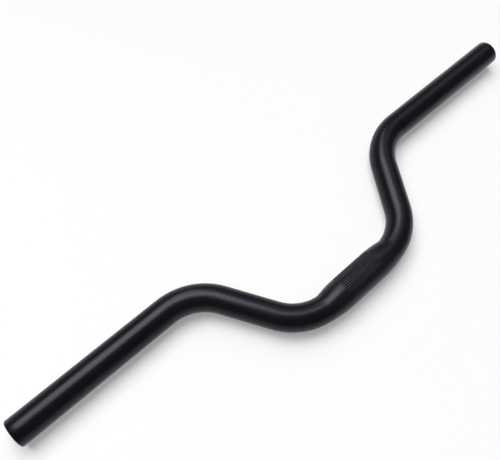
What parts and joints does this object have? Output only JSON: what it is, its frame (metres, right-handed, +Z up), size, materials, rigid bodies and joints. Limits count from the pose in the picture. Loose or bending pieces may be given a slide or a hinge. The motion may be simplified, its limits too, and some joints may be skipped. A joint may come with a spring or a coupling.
{
  "type": "riser handlebar",
  "caption": "Bent tubular riser handlebar, painted black, with a swaged and straight-knurled clamp seat and open square-cut grip ends.",
  "frame": {"origin": "middle of the clamp seat, on the centreline of the tube", "axes": "+X along the clamp seat, +Y the way the bar rises to the grips, +Z up from the surface the bar lies on"},
  "size_m": [0.525, 0.1025, 0.026],
  "materials": {
    "painted_tube": "satin"
  },
  "bodies": {
    "root": {"bar": "painted_tube"}
  },
  "joints": []
}
